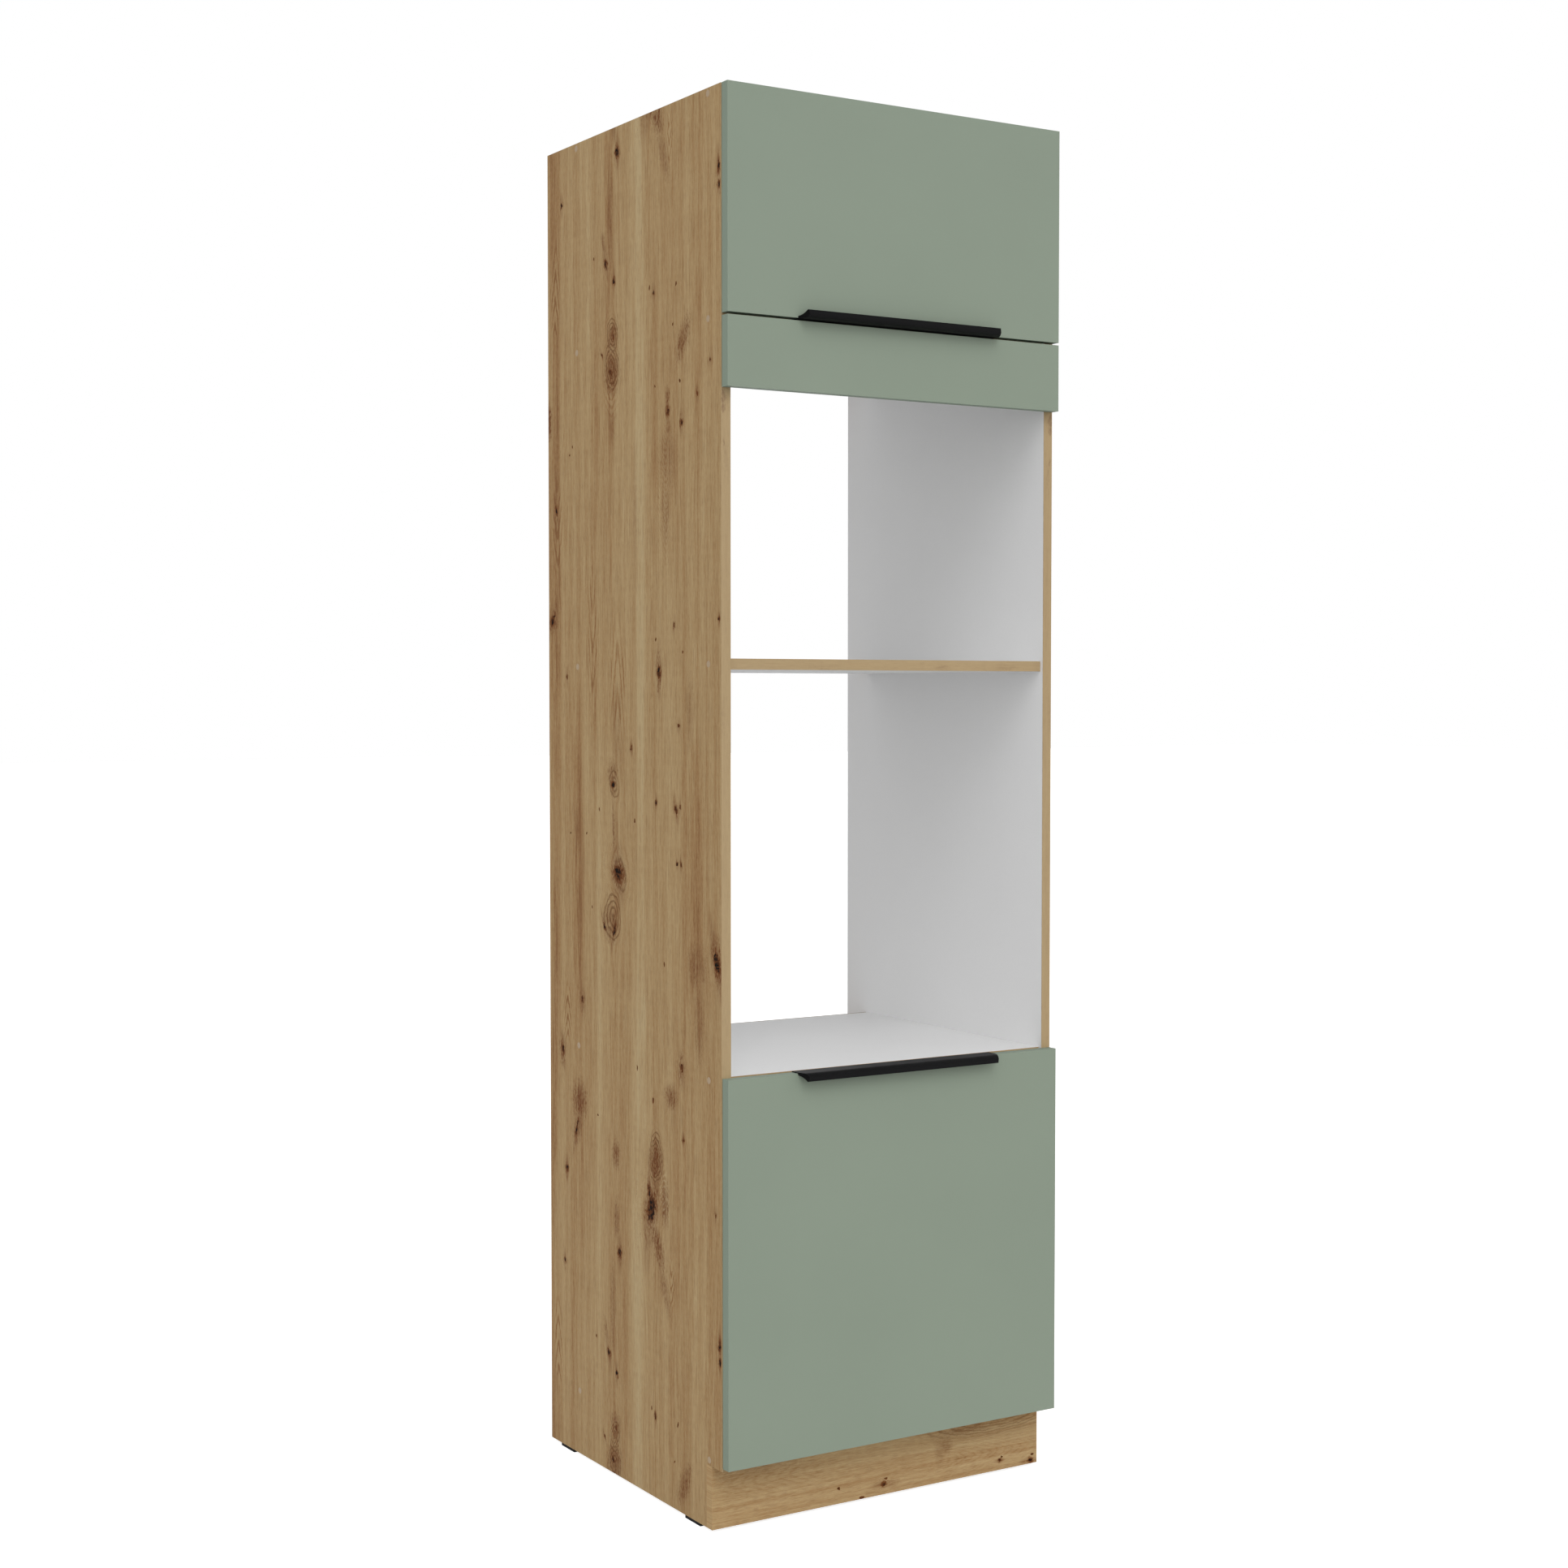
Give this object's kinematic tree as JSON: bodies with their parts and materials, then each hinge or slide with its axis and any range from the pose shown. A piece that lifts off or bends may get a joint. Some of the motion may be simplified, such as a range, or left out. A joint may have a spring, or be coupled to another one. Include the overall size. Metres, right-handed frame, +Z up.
{
  "type": "tall oven cabinet",
  "caption": "Tall floor-standing kitchen cabinet with open niches for an oven and a microwave, a lift-up flap above and a pull-out below.",
  "frame": {"origin": "on the floor, in the middle of the overall width and depth, handles included", "axes": "+Z up, -Y towards the fronts, +X to the right when looking at the rear from the front"},
  "size_m": [0.6, 0.593, 2.105],
  "materials": {
    "oak_and_white_board": "16 mm melamine-faced chipboard: knotty oak print outside, white inside, satin",
    "oak_board": "melamine-faced chipboard with a knotty oak print, satin",
    "oak_edging": "oak print edging strip, satin",
    "white_board": "white melamine-faced chipboard, satin",
    "sage_front": "fibreboard front in sage green matt foil",
    "hardboard": "thin hardboard, white face inside, brown behind",
    "softwood": "sawn softwood",
    "beech": "fluted beech",
    "black_aluminium": "matt black anodised",
    "zinc_steel": "zinc-plated",
    "grey_painted_steel": "grey powder coat",
    "grey_plastic": "light grey moulded plastic",
    "brown_plastic": "oak-brown moulded plastic",
    "black_plastic": "black moulded plastic",
    "white_plastic": "white nylon",
    "clear_rubber": "soft clear polyurethane"
  },
  "bodies": {
    "carcass": {"left_side_panel": "oak_and_white_board", "right_side_panel": "oak_and_white_board", "side_edge_bands": "oak_edging", "bottom_panel": "white_board", "oven_shelf": "white_board", "middle_shelf": "white_board", "upper_shelf": "white_board", "top_panel": "white_board", "shelf_edge_bands": "oak_edging", "plinth_board": "oak_board", "plinth_blocks": "softwood", "upper_back": "hardboard", "lower_back": "hardboard", "back_nails": "zinc_steel", "panel_connectors": "zinc_steel", "cover_caps": "brown_plastic", "dowels": "beech", "glides": "black_plastic", "glide_nails": "zinc_steel", "wall_brackets": "zinc_steel", "carcass_screws": "zinc_steel", "bumpers": "clear_rubber", "fascia_panel": "sage_front", "fascia_brackets": "zinc_steel", "hinge_plates": "zinc_steel", "hinge_arms": "zinc_steel", "lift_base_plates": "zinc_steel", "lift_covers": "grey_plastic", "lift_springs": "zinc_steel", "lift_shafts": "zinc_steel", "cabinet_runners": "zinc_steel"},
    "flap": {"flap_panel": "sage_front", "flap_handle": "black_aluminium", "flap_screws": "zinc_steel", "hinge_cups": "zinc_steel", "flap_brackets": "zinc_steel"},
    "lift_arms": {"lift_arms": "zinc_steel"},
    "lift_links": {"lift_links": "zinc_steel"},
    "hinge_cranks": {"hinge_cranks": "zinc_steel"},
    "hinge_links": {"hinge_links": "zinc_steel"},
    "middle_runners": {"middle_runners": "zinc_steel", "runner_rollers": "white_plastic"},
    "pullout": {"pullout_front": "sage_front", "pullout_handle": "black_aluminium", "pullout_screws": "zinc_steel", "left_drawer_side": "grey_painted_steel", "right_drawer_side": "grey_painted_steel", "drawer_base": "white_board", "drawer_back": "white_board", "drawer_brackets": "zinc_steel", "drawer_runners": "zinc_steel", "gallery_rails": "grey_painted_steel", "rail_holders": "grey_plastic", "rail_posts": "grey_painted_steel"}
  },
  "joints": [
    {"name": "flap_lift", "type": "hinge", "parent": "carcass", "child": "flap", "pos_m": [0, -0.26, 2.105], "axis": [-1, 0, 0], "range_deg": [0, 90]},
    {"name": "lift_arm_turn", "type": "hinge", "parent": "carcass", "child": "lift_arms", "pos_m": [0, -0.215, 2.043], "axis": [-1, 0, 0], "range_deg": [0, 90]},
    {"name": "lift_link_turn", "type": "hinge", "parent": "lift_arms", "child": "lift_links", "pos_m": [0, -0.2065, 1.923], "axis": [-1, 0, 0], "range_deg": [-90, 0]},
    {"name": "hinge_crank_turn", "type": "hinge", "parent": "carcass", "child": "hinge_cranks", "pos_m": [0, -0.2515, 2.084], "axis": [-1, 0, 0], "range_deg": [0, 90]},
    {"name": "hinge_link_turn", "type": "hinge", "parent": "hinge_cranks", "child": "hinge_links", "pos_m": [0, -0.257, 2.07], "axis": [-1, 0, 0], "range_deg": [-90, 0]},
    {"name": "pullout_slide", "type": "slide", "parent": "carcass", "child": "pullout", "axis": [0, -1, 0], "range_m": [0, 0.45]},
    {"name": "middle_runner_slide", "type": "slide", "parent": "carcass", "child": "middle_runners", "axis": [0, -1, 0], "range_m": [0, 0.225]}
  ],
  "couplings": [
    {"joint": "lift_arm_turn", "follows": "flap_lift", "ratio": 1},
    {"joint": "lift_link_turn", "follows": "flap_lift", "ratio": -1},
    {"joint": "hinge_crank_turn", "follows": "flap_lift", "ratio": 1},
    {"joint": "hinge_link_turn", "follows": "flap_lift", "ratio": -1},
    {"joint": "middle_runner_slide", "follows": "pullout_slide", "ratio": 0.5}
  ]
}
